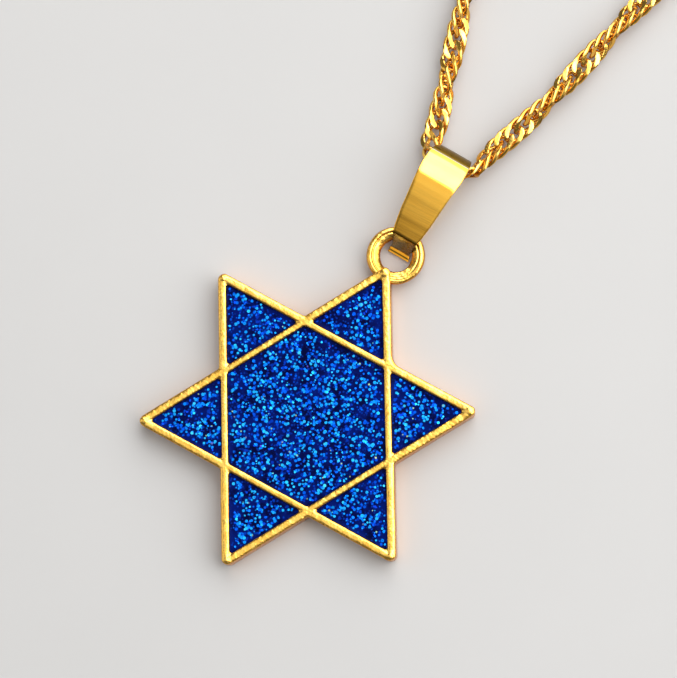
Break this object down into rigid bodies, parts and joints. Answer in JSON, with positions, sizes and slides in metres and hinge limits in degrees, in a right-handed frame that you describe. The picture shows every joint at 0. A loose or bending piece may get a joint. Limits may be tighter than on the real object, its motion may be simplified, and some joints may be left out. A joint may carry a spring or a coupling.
{
  "type": "star pendant on its chain necklace",
  "caption": "Six-pointed star pendant of interlaced ridges with sunk glitter enamel cells, on a tapered folded bail and a fine twisted chain with a barrel clasp.",
  "frame": {"origin": "centre of the star's back face, which rests on the surface", "axes": "+Z out of the enamel, +Y from the star's centre to the hanging loop, +X to the right seen from the front"},
  "size_m": [0.114, 0.2195, 0.0038],
  "materials": {
    "cast_gold": "bright cast and plated, slightly uneven",
    "polished_gold": "polished strip",
    "chain_gold": "bright drawn wire with flattened faces",
    "glitter_enamel": "glossy navy enamel full of blue glitter"
  },
  "bodies": {
    "root": {"star_frame": "cast_gold", "enamel_hexagon": "glitter_enamel", "enamel_point_1": "glitter_enamel", "enamel_point_2": "glitter_enamel", "enamel_point_3": "glitter_enamel", "enamel_point_4": "glitter_enamel", "enamel_point_5": "glitter_enamel", "enamel_point_6": "glitter_enamel", "bail": "polished_gold", "chain": "chain_gold", "clasp": "chain_gold", "end_ring_left": "chain_gold", "end_ring_right": "chain_gold"}
  },
  "joints": []
}
